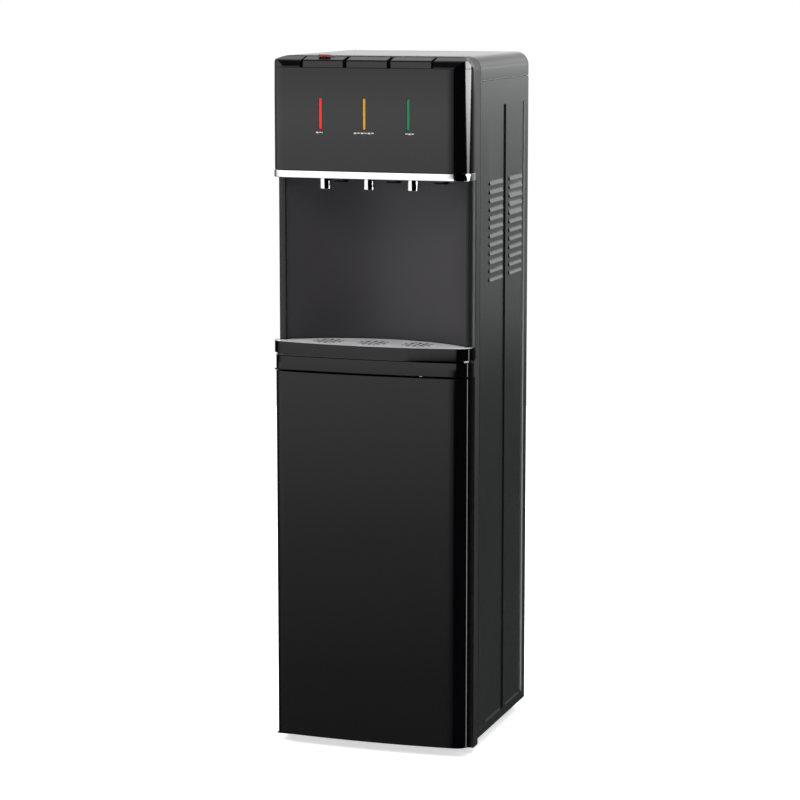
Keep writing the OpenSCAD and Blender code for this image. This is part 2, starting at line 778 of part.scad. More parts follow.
hinge_plate_t = 2;
module lower_hinge() color(steel) placed() {
    z = door_lift - 1;
    block([-half_w + 2, -hinge_y - 4, z - hinge_plate_t],
        [-half_w + 26, -door_frame_d, z]);
    block([-half_w + 2, -door_frame_d - 2, pan_z], [-half_w + 26, -door_frame_d, z]);
    post(hinge_x, -hinge_y, z - hinge_plate_t, door_lift - 0.1, hinge_pin_r + 1.5);
    post(hinge_x, -hinge_y, z - hinge_plate_t, door_lift + 11, hinge_pin_r);
}
module upper_hinge() color(steel) placed() {
    block([-half_w + 2, -hinge_y - 4, band_z - hinge_plate_t],
        [-half_w + 26, -door_back - 2, band_z]);
    post(hinge_x, -hinge_y, door_top - 11, band_z, hinge_pin_r);
}

grommet_places = [for (x = [-1, 1], y = [-1, 1]) [comp_x + 47.5 * x, comp_y + 47.5 * y]];
module compressor() color(black) placed() {
    // Foot plate on the grommets
    difference() {
        block([comp_x - 52, comp_y - 52, comp_z], [comp_x + 52, comp_y + 52, comp_z + 2.5]);
        for (p = grommet_places) post(p[0], p[1], comp_z - cut, comp_z + 4, 4.05);
    }
    translate([comp_x, comp_y, comp_z + 2]) rotate_extrude($fn = 96) {
        square([comp_r, 90]);
        translate([0, 90]) square([comp_r - 22, 22]);
        intersection() {
            translate([comp_r - 22, 90]) circle(r = 22);
            translate([0, 80]) square([comp_r, 40]);
        }
    }
    // Suction and discharge stubs, terminal box
    post(comp_x + 25, comp_y - 15, comp_z + 100, comp_z + 126, 4);
    bar_y(comp_x, comp_z + 62, comp_y + comp_r - 6, comp_y + comp_r + 8, 4);
    block([comp_x - comp_r + 12, comp_y - comp_r - 14, comp_z + 30],
        [comp_x - comp_r + 58, comp_y - comp_r + 12, comp_z + 76]);
}
module compressor_grommets() color("black") placed()
    for (p = grommet_places) {
        post(p[0], p[1], mid_top, comp_z, 7);
        post(p[0], p[1], comp_z, comp_z + 6, 4);
    }

hot_z = mid_top;
module hot_tank_jacket() color(foam) placed()
    translate([hot_x, hot_y, hot_z]) difference() {
        cylinder(r = jacket_r, h = 190);
        translate([0, 0, 8]) cylinder(r = hot_r + 0.3, h = 190);
    }
module hot_tank() color(steel) placed()
    translate([hot_x, hot_y, hot_z + 8]) {
        cylinder(r = hot_r, h = 186);
        translate([25, 0, 180]) cylinder(r = hose_r, h = 16);
        // Thermostats
        for (x = [-28, 0]) translate([x, 12, 184]) cylinder(r = 8, h = 9);
    }

cold_z = upper_top;
cold_h = 168;
module cold_tank_jacket() color(foam) placed() difference() {
    block([cold_x - 75, cold_y - 80, cold_z], [cold_x + 75, cold_y + 75, cold_z + cold_h]);
    post(cold_x, cold_y, cold_z + 14, cold_z + cold_h + cut, cold_r + 8);
}
module cold_tank() color(steel) placed() {
    post(cold_x, cold_y, cold_z + 14, cold_z + cold_h - 14, cold_r);
    post(cold_x, cold_y, cold_z + cold_h - 15, cold_z + cold_h - 8, cold_r + 6);
    // Evaporator coil wound on the tank
    for (i = [0 : 5])
        translate([cold_x, cold_y, cold_z + 30 + i * 14])
            rotate_extrude($fn = 96) translate([cold_r + 2, 0]) circle(r = 3.2, $fn = 24);
}

pump_x = 92;
pump_y = 66;
module water_pump() color("dimgray") placed() {
    block([pump_x - 26, pump_y - 22, mid_top], [pump_x + 26, pump_y + 22, mid_top + 3]);
    block([pump_x - 22, pump_y - 20, mid_top + 3], [pump_x + 8, pump_y + 20, mid_top + 42]);
    bar_x(pump_y, mid_top + 22, pump_x + 7, pump_x + 40, 16);
    bar_x(pump_y, mid_top + 22, pump_x - 34, pump_x - 21, hose_r);
    post(pump_x - 8, pump_y, mid_top + 41, mid_top + 54, hose_r);
}

// Wand and cap that go into the bottle's neck, parked in the bay's rear corner
probe_top = mid_z - 42;
module bottle_probe() color("gainsboro") placed() {
    post(probe_x, probe_y, side_lift + 70, probe_top, 5);
    post(probe_x, probe_y, probe_top - 22, probe_top - 2, 23);
    post(probe_x, probe_y, probe_top - 3, probe_top + 20, 8);
    // Clip that parks it on the bay's wall
    block([-half_w + field_sink + sheet_t + 0.5, probe_y - 6, probe_top - 60],
        [probe_x, probe_y + 6, probe_top - 52]);
}

module water_hoses() color("gainsboro") placed() {
    lift = mid_top + 22;
    barb_z = valve_z + 16;
    // Suction: bottle probe to pump
    pipe([[probe_x, probe_y, probe_top + 20], [probe_x, probe_y, lift],
        [0, back_y - 18, lift], [0, pump_y, lift], [pump_x - 34, pump_y, lift]], hose_r);
    // Feed: pump to cold tank
    pipe([[pump_x - 8, pump_y, mid_top + 54], [pump_x - 8, pump_y, mid_top + 80],
        [pump_x - 8, 36, mid_top + 80], [pump_x - 8, 36, cold_z + 40],
        [cold_x + 50, 36, cold_z + 40], [cold_x + 50, cold_y - 80, cold_z + 40]], hose_r);
    // Cold: tank to cold tap
    pipe([[cold_x + 50, cold_y - 80, barb_z + 22], [cold_x + 50, 10, barb_z + 22],
        [tap(1), 10, barb_z + 22], [tap(1), 10, barb_z],
        [tap(1), 20 - tap_y, barb_z]], hose_r);
    // Room temperature: tank to middle tap
    pipe([[tap(0), cold_y - 80, barb_z], [tap(0), 20 - tap_y, barb_z]], hose_r);
    // Hot: heater to hot tap
    pipe([[hot_x + 25, hot_y, hot_z + 204], [hot_x + 25, hot_y, barb_z - 22],
        [hot_x + 25, 58, barb_z - 22], [tap(-1), 58, barb_z - 22],
        [tap(-1), 58, barb_z], [tap(-1), 20 - tap_y, barb_z]], hose_r);
    // Drain: heater to drain spout
    jacket_y = hot_y + sqrt(pow(jacket_r, 2) - pow(drain_x - hose_r - hot_x, 2)) + 0.2;
    pipe([[drain_x, jacket_y, drain_z], [drain_x, back_y - 14, drain_z]], hose_r);
}

module refrigerant_pipes() color(copper) placed() {
    out_z = comp_z + 62;
    // Discharge: compressor to condenser
    pipe([[comp_x, comp_y + comp_r + 8, out_z], [comp_x, back_y - 12, out_z],
        [drop_x, back_y - 12, out_z], [drop_x, back_y - 12, cond_top],
        [drop_x, cond_y, cond_top], [-pass_half, cond_y, cond_top]], pipe_r);
    // Liquid line: condenser to evaporator, with the drier
    pipe([[-pass_half, cond_y, cond_low], [riser_x, cond_y, cond_low],
        [riser_x, back_y + 14, cond_low], [riser_x, back_y + 14, riser_z],
        [riser_x, back_y - 14, riser_z], [riser_x, back_y - 14, cold_z + 60],
        [riser_x, back_y - 25, cold_z + 60], [cold_x - 75, back_y - 25, cold_z + 60]], pipe_r);
    post(riser_x, back_y - 14, riser_z + 20, riser_z + 90, 8);
    // Suction: evaporator to compressor
    pipe([[comp_x + 25, comp_y - 15, cold_z], [comp_x + 25, comp_y - 15, comp_z + 126]],
        pipe_r);
}

module condenser_tube() color(black) placed() {
    bend = pass_pitch / 2;
    for (i = [0 : passes - 1])
        bar_x(cond_y, cond_top - i * pass_pitch, -pass_half, pass_half, tube_r, $fn = 32);
    for (i = [0 : passes - 2])
        translate([(i % 2 == 0 ? 1 : -1) * pass_half, cond_y, cond_top - (i + 0.5) * pass_pitch])
            rotate([90, 0, 0]) rotate([0, 0, i % 2 == 0 ? -90 : 90])
                rotate_extrude(angle = 180, $fn = 64) translate([bend, 0])
                    circle(r = tube_r, $fn = 32);
}
module condenser_wires() color(black) placed() {
    pitch = 2 * (pass_half - 6) / (wires - 1);
    reach = tube_r + wire_r + 0.02;
    for (i = [0 : wires - 1], s = [-1, 1])
        translate([-pass_half + 6 + i * pitch, cond_y + s * reach, cond_low - 12])
            cylinder(r = wire_r, h = cond_top - cond_low + 24, $fn = 16);
    // Brackets that hold the coil off the back panel
    edge = pass_half + pass_pitch / 2 + tube_r;
    both_sides() for (z = [cond_low + pass_pitch * 2.5, cond_top - pass_pitch * 2.5]) {
        block([edge, back_y + sheet_t, z - 8], [edge + 1.5, rear_y, z + 8]);
        block([edge, back_y + sheet_t, z - 8], [edge + 14, back_y + sheet_t + 1.5, z + 8]);
    }
}

module switch_bezel(z) translate([switch_x, back_y + sheet_t, z]) {
    difference() {
        union() {
            block([-11, 0, -16], [11, 2.5, 16]);
            block([-8.8, -14, -12.8], [8.8, 2.5, 12.8]);
        }
        block([-6.8, -12, -11], [6.8, 2.5 + cut, 11]);
        bar_x(-3, 0, -8, 8, 1.55, $fn = 32);
    }
}
module switch_bezels() color(black) placed() {
    switch_bezel(heat_z);
    switch_bezel(cool_z);
}
// Rocker tilted to its off side; it turns about X
rocker_tilt = 8;
module rocker(z) placed()
    translate([switch_x, back_y + sheet_t - 3, z]) rotate([rocker_tilt, 0, 0]) {
        along_x(-6.5, 6.5) polygon([[-3, -6], [-3, 6], [5, 9.6], [4.2, 0], [5, -9.6]]);
        bar_x(0, 0, -7.9, 7.9, 1.5, $fn = 32);
    }
module heat_rocker() color("red") rocker(heat_z);
module cool_rocker() color("green") rocker(cool_z);

module cord_gland() color("black") placed() difference() {
    union() {
        bar_y(gland_x, gland_z, back_y - 4, back_y + sheet_t, 7.9);
        bar_y(gland_x, gland_z, back_y + sheet_t, back_y + sheet_t + 4, 11);
    }
    bar_y(gland_x, gland_z, back_y - 5, back_y + 10, 3.6);
}

module drain_spout() color("whitesmoke") placed() difference() {
    union() {
        bar_y(drain_x, drain_z, back_y - 14, back_y + 18, 8);
        bar_y(drain_x, drain_z, back_y + sheet_t, back_y + sheet_t + 3, 11);
    }
    bar_y(drain_x, drain_z, back_y - 13, back_y + 20, 5);
}
module drain_cap() color("black") placed() difference() {
    bar_y(drain_x, drain_z, back_y + 5, back_y + 22, 11);
    bar_y(drain_x, drain_z, back_y + 4, back_y + 18.4, 8.3);
}

module back_screws() color(steel) placed() both_sides() for (z = screw_zs) {
    bar_y(half_w - 9, z, back_y + sheet_t, back_y + sheet_t + 2.4, 4);
    bar_y(half_w - 9, z, back_y - 9, back_y + sheet_t, 1.95);
}

base_pan();
feet();
lower_frame();
upper_frame();
left_side_panel();
right_side_panel();
back_panel();
top_cover();
machine_shelves();
niche_panel();
band_panel();
tap_plate();
chrome_trim();
control_fascia();
button_deck();
hot_lamp();
low_water_lamp();
cold_lamp();
circuit_boards();
hot_button();
room_button();
cold_button();
hot_push_rod();
room_push_rod();
cold_push_rod();
hot_spring();
room_spring();
cold_spring();
child_lock();
tap_valves();
hot_nozzle();
room_nozzle();
cold_nozzle();
drip_tray();
drip_grille();
door_shell();
door_liner();
strike_plate();
magnetic_catch();
lower_hinge();
upper_hinge();
compressor();
compressor_grommets();
hot_tank();
hot_tank_jacket();
cold_tank();
cold_tank_jacket();
water_pump();
bottle_probe();
water_hoses();
refrigerant_pipes();
condenser_tube();
condenser_wires();
switch_bezels();
heat_rocker();
cool_rocker();
cord_gland();
drain_spout();
drain_cap();
back_screws();
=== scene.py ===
"""The look of a floor-standing water dispenser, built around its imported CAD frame."""

import json
import math

import bmesh
import bpy
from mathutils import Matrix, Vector


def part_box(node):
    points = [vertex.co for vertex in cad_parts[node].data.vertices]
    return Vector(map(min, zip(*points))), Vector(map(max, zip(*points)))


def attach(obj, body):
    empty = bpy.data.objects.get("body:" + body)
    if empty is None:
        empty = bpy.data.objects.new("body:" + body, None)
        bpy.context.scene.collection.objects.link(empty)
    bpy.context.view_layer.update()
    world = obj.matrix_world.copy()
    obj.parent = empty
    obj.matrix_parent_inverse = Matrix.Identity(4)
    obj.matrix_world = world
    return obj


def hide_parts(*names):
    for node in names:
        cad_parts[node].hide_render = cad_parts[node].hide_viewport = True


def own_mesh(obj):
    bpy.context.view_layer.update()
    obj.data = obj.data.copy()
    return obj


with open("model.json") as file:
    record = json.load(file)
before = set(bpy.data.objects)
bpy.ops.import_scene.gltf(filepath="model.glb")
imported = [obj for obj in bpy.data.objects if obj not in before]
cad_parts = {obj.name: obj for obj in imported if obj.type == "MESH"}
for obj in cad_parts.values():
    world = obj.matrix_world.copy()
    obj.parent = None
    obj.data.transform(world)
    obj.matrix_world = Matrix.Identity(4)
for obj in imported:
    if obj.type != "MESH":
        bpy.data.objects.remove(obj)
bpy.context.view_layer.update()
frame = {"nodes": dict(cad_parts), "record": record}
scene = bpy.context.scene
scene.view_settings.view_transform = "Standard"

# ---------------------------------------------------------------------------
# Studio: a camera a little to the right and above the taps, a pale floor and a
# soft light tent. The tent is bright in front and behind and dark on the right,
# and it dims downwards, so gloss fronts fade from grey to black.

CAMERA_AT = (1.3254, -4.0277, 1.1748)
CAMERA_TURN_DEG = 18.32
CAMERA_DIP_DEG = 8.87
LENS_MM = 124.56


def linear(hex_colour):
    """An sRGB hex colour as linear RGBA."""
    channels = [int(hex_colour[i : i + 2], 16) / 255 for i in (1, 3, 5)]
    return tuple(
        c / 12.92 if c <= 0.04045 else ((c + 0.055) / 1.055) ** 2.4 for c in channels
    ) + (1.0,)


def add(tree, kind, settings=None, links=None):
    """Adds one node, sets its properties or inputs by name, and links its inputs."""
    node = tree.nodes.new(kind)
    for name, value in (settings or {}).items():
        if isinstance(name, str) and hasattr(node, name):
            setattr(node, name, value)
        else:
            node.inputs[name].default_value = value
    for name, source in (links or {}).items():
        tree.links.new(source, node.inputs[name])
    return node


def set_ramp(node, stops):
    """Gives a colour ramp these (position, grey level) stops."""
    elements = node.color_ramp.elements
    while len(elements) > 1:
        elements.remove(elements[-1])
    for i, (position, level) in enumerate(stops):
        e = elements[0] if i == 0 else elements.new(position)
        e.position = position
        e.color = (level, level, level, 1)


camera_data = bpy.data.cameras.new("camera")
camera_data.lens = LENS_MM
camera = bpy.data.objects.new("camera", camera_data)
camera.location = CAMERA_AT
camera.rotation_euler = (
    math.radians(90 - CAMERA_DIP_DEG), 0, math.radians(CAMERA_TURN_DEG))
scene.collection.objects.link(camera)
scene.camera = camera

world = bpy.data.worlds.new("light_tent")
scene.world = world
world.use_nodes = True
tent = world.node_tree
tent.nodes.clear()
way = add(tent, "ShaderNodeTexCoord")
axis = add(tent, "ShaderNodeSeparateXYZ", links={0: way.outputs["Generated"]})
# Lowest and highest reflected direction that the walls' brightness is given for
LOW, HIGH = -0.32, 0.32
height = add(tent, "ShaderNodeMapRange",
             {"From Min": LOW, "From Max": HIGH}, {"Value": axis.outputs["Z"]})
forward = add(tent, "ShaderNodeMath", {"operation": "MULTIPLY", 1: -1.0},
              {0: axis.outputs["Y"]})
turn = add(tent, "ShaderNodeMath", {"operation": "ARCTAN2"},
           {0: axis.outputs["X"], 1: forward.outputs[0]})


def cloth(by_height, by_turn, at):
    """One wall of the tent: its brightness by height, times that by direction."""
    share = add(tent, "ShaderNodeMapRange", {"From Min": -math.pi, "From Max": math.pi},
                {"Value": at.outputs[0]})
    rise = add(tent, "ShaderNodeValToRGB", links={0: height.outputs[0]})
    set_ramp(rise, [((z - LOW) / (HIGH - LOW), level) for z, level in by_height])
    round_it = add(tent, "ShaderNodeValToRGB", links={0: share.outputs[0]})
    set_ramp(round_it, [((a + 180) / 360, level) for a, level in by_turn])
    return add(tent, "ShaderNodeMath", {"operation": "MULTIPLY"},
               {0: rise.outputs[0], 1: round_it.outputs[0]})


# The front wall's right edge isn't straight: it stands further left at fascia height
# than by the door, and further right at tray height. The shift is in degrees.
LEAN_MIN, LEAN_MAX = -15, 7
edge = add(tent, "ShaderNodeValToRGB", links={0: height.outputs[0]})
set_ramp(edge, [((z - LOW) / (HIGH - LOW), (a - LEAN_MIN) / (LEAN_MAX - LEAN_MIN))
                for z, a in ((-0.32, 0), (-0.1425, 0), (-0.1415, -15), (-0.115, -15),
                             (-0.10, 0), (-0.08, 7), (0.32, 7))])
lean = add(tent, "ShaderNodeMapRange",
           {"To Min": math.radians(LEAN_MIN), "To Max": math.radians(LEAN_MAX)},
           {"Value": edge.outputs[0]})
leaning = add(tent, "ShaderNodeMath", {"operation": "ADD"},
              {0: turn.outputs[0], 1: lean.outputs[0]})
front_wall = cloth(
    ((-0.32, 0.08), (-0.25, 0.15), (-0.20, 0.30), (-0.15, 0.56), (-0.105, 0.72),
     (-0.07, 0.84), (-0.052, 1.0), (-0.03, 0.75), (0.0, 0.7), (0.1, 0.5), (0.17, 0.2),
     (0.32, 0.05)),
    ((-180, 0.0), (-110, 0.0), (-80, 0.8), (-40, 1.0), (-6.4, 1.0), (-5.4, 0.0),
     (180, 0.0)), leaning)
back_wall = cloth(
    ((-0.32, 0.05), (-0.136, 0.05), (-0.122, 0.26), (-0.07, 0.25), (-0.045, 0.36),
     (-0.03, 0.95), (0.1, 0.75), (0.2, 0.85), (0.32, 0.4)),
    ((-180, 1.0), (-140, 0.8), (-110, 0.0), (100, 0.0), (140, 0.6), (158, 1.0),
     (180, 1.0)), turn)
# A strip lamp on the right, wider and brighter at its top
STRIP_AT_DEG = 91
STRIP_HALF_DEG = (2.5, 24)
STRIP_LEVEL = (5.5, 13.0)
STRIP_TOP = 0.02
across = add(tent, "ShaderNodeMath",
             {"operation": "SUBTRACT", 1: math.radians(STRIP_AT_DEG)},
             {0: turn.outputs[0]})
away = add(tent, "ShaderNodeMath", {"operation": "ABSOLUTE"}, {0: across.outputs[0]})
width = add(tent, "ShaderNodeMapRange",
            {"From Min": -0.09, "From Max": -0.035,
             "To Min": math.radians(STRIP_HALF_DEG[0]),
             "To Max": math.radians(STRIP_HALF_DEG[1])}, {"Value": axis.outputs["Z"]})
inside = add(tent, "ShaderNodeMath", {"operation": "LESS_THAN"},
             {0: away.outputs[0], 1: width.outputs[0]})
below = add(tent, "ShaderNodeMath", {"operation": "LESS_THAN", 1: STRIP_TOP},
            {0: axis.outputs["Z"]})
strip = add(tent, "ShaderNodeMath", {"operation": "MULTIPLY"},
            {0: inside.outputs[0], 1: below.outputs[0]})
upward = add(tent, "ShaderNodeMapRange",
             {"From Min": -0.07, "From Max": -0.04,
              "To Min": STRIP_LEVEL[0], "To Max": STRIP_LEVEL[1]},
             {"Value": axis.outputs["Z"]})
strip_light = add(tent, "ShaderNodeMath", {"operation": "MULTIPLY"},
                  {0: strip.outputs[0], 1: upward.outputs[0]})
walls = add(tent, "ShaderNodeMath", {"operation": "ADD"},
            {0: front_wall.outputs[0], 1: back_wall.outputs[0]})
# Walls at this level; dull surfaces also get an even fill, which reaches into the
# bottle bay; seen directly, the tent is plain white
WALL_LEVEL, FILL_LEVEL, BACKDROP_LEVEL = 1.5, 0.5, 1.02
bright = add(tent, "ShaderNodeMath", {"operation": "MULTIPLY_ADD", 1: WALL_LEVEL},
             {0: walls.outputs[0], 2: strip_light.outputs[0]})
rays = add(tent, "ShaderNodeLightPath")
level = add(tent, "ShaderNodeMath", {"operation": "MULTIPLY_ADD", 1: FILL_LEVEL},
            {0: rays.outputs["Is Diffuse Ray"], 2: bright.outputs[0]})
lit = add(tent, "ShaderNodeBackground", {"Color": (1, 1, 1, 1)},
          {"Strength": level.outputs[0]})
backdrop = add(tent, "ShaderNodeBackground",
               {"Color": (1, 1, 1, 1), "Strength": BACKDROP_LEVEL})
both = add(tent, "ShaderNodeMixShader", links={
    0: rays.outputs["Is Camera Ray"], 1: lit.outputs[0], 2: backdrop.outputs[0]})
add(tent, "ShaderNodeOutputWorld", links={0: both.outputs[0]})

# Soft lamps for the dull surfaces: name, place, size in m, watts
LAMPS_AIM_AT = Vector((0, 0, 0.6))
for name, place, size, watts in (
        ("key", (-2.4, -3.0, 4.2), 2.2, 150),
        ("top", (0.3, 0.4, 4.5), 2.6, 120),
        ("rear", (1.8, 3.2, 3.6), 2.0, 80)):
    lamp_data = bpy.data.lights.new(name, "AREA")
    lamp_data.size = size
    lamp_data.energy = watts
    lamp = bpy.data.objects.new(name, lamp_data)
    lamp.location = place
    lamp.visible_glossy = False
    lamp.rotation_euler = (LAMPS_AIM_AT - Vector(place)).to_track_quat("-Z", "Y").to_euler()
    scene.collection.objects.link(lamp)

# The floor: matt paper with a faint tooth, lit from below as well, just under the feet
FLOOR_R, FLOOR_Z = 3.2, -0.0005
floor_mesh = bpy.data.meshes.new("floor")
shape = bmesh.new()
bmesh.ops.create_circle(shape, cap_ends=True, segments=96, radius=FLOOR_R)
shape.to_mesh(floor_mesh)
shape.free()
floor = bpy.data.objects.new("floor", floor_mesh)
floor.location.z = FLOOR_Z
floor.visible_glossy = False
scene.collection.objects.link(floor)
paper = bpy.data.materials.new("matt_backdrop_paper")
paper.use_nodes = True
tree = paper.node_tree
tree.nodes.clear()
fibre = add(tree, "ShaderNodeTexNoise", {"Scale": 900.0},
            {"Vector": add(tree, "ShaderNodeTexCoord").outputs["Object"]})
tooth = add(tree, "ShaderNodeBump", {"Strength": 0.05, "Distance": 0.0004},
            {"Height": fibre.outputs[0]})
matt = add(tree, "ShaderNodeBsdfDiffuse", {"Color": (0.8, 0.8, 0.8, 1)},
           {"Normal": tooth.outputs[0]})
lift = add(tree, "ShaderNodeEmission", {"Color": (1, 1, 1, 1), "Strength": 0.62})
mixed = add(tree, "ShaderNodeAddShader", links={0: matt.outputs[0], 1: lift.outputs[0]})
add(tree, "ShaderNodeOutputMaterial", links={0: mixed.outputs[0]})
floor_mesh.materials.append(paper)

# ---------------------------------------------------------------------------
# Base pan and feet: a moulded polypropylene tray that closes the cabinet
# below, on four turned rubber feet that are pushed into it.

home = {n: body for body, names in frame["record"]["behaviour"]["bodies"].items()
        for n in names}
# Share of the slow patches in how the roughness wanders; the rest is the fine grain
PATCH_SHARE = 0.6


def finish(name, dark, light, rough, metal=0.0, ior=1.5, grain_mm=0.6, depth_mm=0.01,
           patch_mm=70.0, stretch=(1, 1, 1)):
    """A moulded, coated or drawn surface: two close shades in slow patches, roughness
    that wanders with them, and a fine grain as relief."""
    material = bpy.data.materials.new(name)
    material.use_nodes = True
    tree = material.node_tree
    shader = tree.nodes["Principled BSDF"]
    shader.inputs["Metallic"].default_value = metal
    shader.inputs["IOR"].default_value = ior
    place = add(tree, "ShaderNodeTexCoord")
    drawn = add(tree, "ShaderNodeMapping", {"Scale": stretch},
                {"Vector": place.outputs["Object"]})
    patch = add(tree, "ShaderNodeTexNoise",
                {"Scale": 1000 / patch_mm, "Detail": 4.0, "Roughness": 0.55},
                {"Vector": drawn.outputs[0]})
    grain = add(tree, "ShaderNodeTexNoise",
                {"Scale": 1000 / grain_mm, "Detail": 2.0}, {"Vector": drawn.outputs[0]})
    shade = add(tree, "ShaderNodeMix", {"data_type": "RGBA"}, {0: patch.outputs[0]})
    shade.inputs[6].default_value = linear(dark)
    shade.inputs[7].default_value = linear(light)
    wander = add(tree, "ShaderNodeMath", {"operation": "MULTIPLY", 1: PATCH_SHARE},
                 {0: patch.outputs[0]})
    fine = add(tree, "ShaderNodeMath", {"operation": "MULTIPLY_ADD", 1: 1 - PATCH_SHARE},
               {0: grain.outputs[0], 2: wander.outputs[0]})
    worn = add(tree, "ShaderNodeMapRange",
               {"From Min": 0.3, "From Max": 0.7, "To Min": rough[0], "To Max": rough[1]},
               {"Value": fine.outputs[0]})
    relief = add(tree, "ShaderNodeBump", {"Strength": 1.0, "Distance": depth_mm / 1000},
                 {"Height": grain.outputs[0]})
    tree.links.new(shade.outputs[2], shader.inputs["Base Color"])
    tree.links.new(worn.outputs[0], shader.inputs["Roughness"])
    tree.links.new(relief.outputs[0], shader.inputs["Normal"])
    return material


# Points closer than this, in metres, are one; faces flatter than this, in radians, are too
SAME_POINT, FLAT_ANGLE = 2e-6, 0.0009


def solid_copy(node, name, split=False):
    """The CAD node's mesh as a new closed mesh, its triangles merged into faces. With
    split, faces that run round an opening are cut into convex ones."""
    mesh = frame["nodes"][node].data.copy()
    mesh.materials.clear()
    shape = bmesh.new()
    shape.from_mesh(mesh)
    bmesh.ops.remove_doubles(shape, verts=shape.verts, dist=SAME_POINT)
    bmesh.ops.dissolve_limit(shape, angle_limit=FLAT_ANGLE, verts=shape.verts,
                             edges=shape.edges, use_dissolve_boundaries=False)
    if split:
        bmesh.ops.connect_verts_concave(shape, faces=shape.faces[:])
    shape.to_mesh(mesh)
    shape.free()
    piece = bpy.data.objects.new(name, mesh)
    scene.collection.objects.link(piece)
    return piece


def bake_modifiers(piece):
    """Turns a piece's modifiers into its mesh."""
    shown = piece.evaluated_get(bpy.context.evaluated_depsgraph_get())
    mesh = bpy.data.meshes.new_from_object(shown)
    piece.modifiers.clear()
    piece.data = mesh


def moulded(node, name, material, edge_mm=0.5, steps=2, crease_deg=28, split=False):
    """A CAD node with its sharp edges rounded as a mould or a press rounds them, or,
    with edge_mm 0, with crisp folds."""
    piece = solid_copy(node, name, split)
    piece.data.materials.append(material)
    for polygon in piece.data.polygons:
        polygon.use_smooth = True
        polygon.material_index = 0
    if not edge_mm:
        shape = bmesh.new()
        shape.from_mesh(piece.data)
        for edge in shape.edges:
            edge.smooth = edge.calc_face_angle(math.pi) < math.radians(crease_deg)
        shape.to_mesh(piece.data)
        shape.free()
    else:
        bevel = piece.modifiers.new("edge", "BEVEL")
        bevel.width = edge_mm / 1000
        bevel.segments = steps
        bevel.limit_method = "ANGLE"
        bevel.angle_limit = math.radians(crease_deg)
        bevel.miter_outer = "MITER_ARC"
        bevel.use_clamp_overlap = True
    even = piece.modifiers.new("even", "WEIGHTED_NORMAL")
    even.keep_sharp = True
    bake_modifiers(piece)
    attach(piece, home[node])
    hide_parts(node)
    return piece


# Moulded polypropylene, spark-eroded: dull, with a fine even grain
pan_plastic = finish("moulded_polypropylene", "#141516", "#1b1c1d", (0.5, 0.62),
                     grain_mm=0.8, depth_mm=0.03)
# Turned nitrile rubber: nearly black and matt
foot_rubber = finish("nitrile_rubber", "#0e0e0e", "#171716", (0.7, 0.85),
                     grain_mm=0.5, depth_mm=0.02)
moulded("base_pan", "base_tray", pan_plastic, 0.6)
moulded("feet", "turned_feet", foot_rubber, 0.8)

# ---------------------------------------------------------------------------
# Frames: two ABS mouldings that clip together and carry every other piece.
# Their front posts show beside the niche, in a satin spark-eroded finish.

frame_plastic = finish("satin_abs_frame", "#151717", "#1d1f1f", (0.30, 0.38),
                       grain_mm=0.9, depth_mm=0.006)
moulded("lower_frame", "lower_frame_moulding", frame_plastic, 0.6, split=True)
moulded("upper_frame", "upper_frame_moulding", frame_plastic, 0.6)

# ---------------------------------------------------------------------------
# Side panels: 1 mm steel sheet, pressed with two upright sunk fields and rows of
# short louvres, then powder coated in satin dark grey and screwed on behind.

# Powder coat: satin, slightly greenish, with the low orange peel of baked powder
powder_coat = finish("satin_powder_coat", "#101514", "#171c1b", (0.16, 0.21),
                     grain_mm=2.2, depth_mm=0.008, patch_mm=180)
# Only the outside is coated: faces that look inwards are bare galvanised sheet. A face
# counts as such if the object's middle is this far, in metres, on its front side.
INWARDS = 0.05
sheet = powder_coat.node_tree
coated = sheet.nodes["Principled BSDF"]
spot = add(sheet, "ShaderNodeTexCoord")
outwards = add(sheet, "ShaderNodeVectorMath", {"operation": "DOT_PRODUCT"},
               {0: spot.outputs["Object"], 1: spot.outputs["Normal"]})
bare = add(sheet, "ShaderNodeMapRange",
           {"From Min": -INWARDS, "From Max": -INWARDS - 0.01},
           {"Value": outwards.outputs["Value"]})
two_sided = add(sheet, "ShaderNodeMix", {"data_type": "RGBA", 7: linear("#a3a7a9")},
                {0: bare.outputs[0], 6: coated.inputs["Base Color"].links[0].from_socket})
sheet.links.new(two_sided.outputs[2], coated.inputs["Base Color"])
moulded("left_side_panel", "left_pressed_panel", powder_coat, 0)
moulded("right_side_panel", "right_pressed_panel", powder_coat, 0)

# ---------------------------------------------------------------------------
# Back panel: folded sheet of the same steel and coat, with vent slots and the
# holes for switches, spout, pipes and cord. Eight screws hold it.

moulded("back_panel", "folded_back_panel", powder_coat, 0)

# Zinc-plated steel: pale, a little cloudy, brushed only by handling
zinc = finish("zinc_plated_steel", "#9da1a4", "#b9bcbe", (0.28, 0.42), metal=1.0,
              grain_mm=1.5, depth_mm=0.01, patch_mm=9)


def sized_tree(name, sizes):
    """A geometry tree with a mesh input, named size inputs and one mesh output."""
    tree = bpy.data.node_groups.new(name, "GeometryNodeTree")
    tree.interface.new_socket("Geometry", in_out="INPUT",
                              socket_type="NodeSocketGeometry")
    for label, value in sizes.items():
        whole = isinstance(value, int)
        socket = tree.interface.new_socket(
            label, in_out="INPUT",
            socket_type="NodeSocketInt" if whole else "NodeSocketFloat")
        socket.default_value = value
    tree.interface.new_socket("Geometry", in_out="OUTPUT",
                              socket_type="NodeSocketGeometry")
    return tree, add(tree, "NodeGroupInput").outputs


def end_tree(tree, geometry, material):
    """Realizes what the tree made, paints it, and sends it out."""
    real = add(tree, "GeometryNodeRealizeInstances", links={0: geometry})
    paint = add(tree, "GeometryNodeSetMaterial", {"Material": material},
                {0: real.outputs[0]})
    add(tree, "NodeGroupOutput", links={0: paint.outputs[0]})


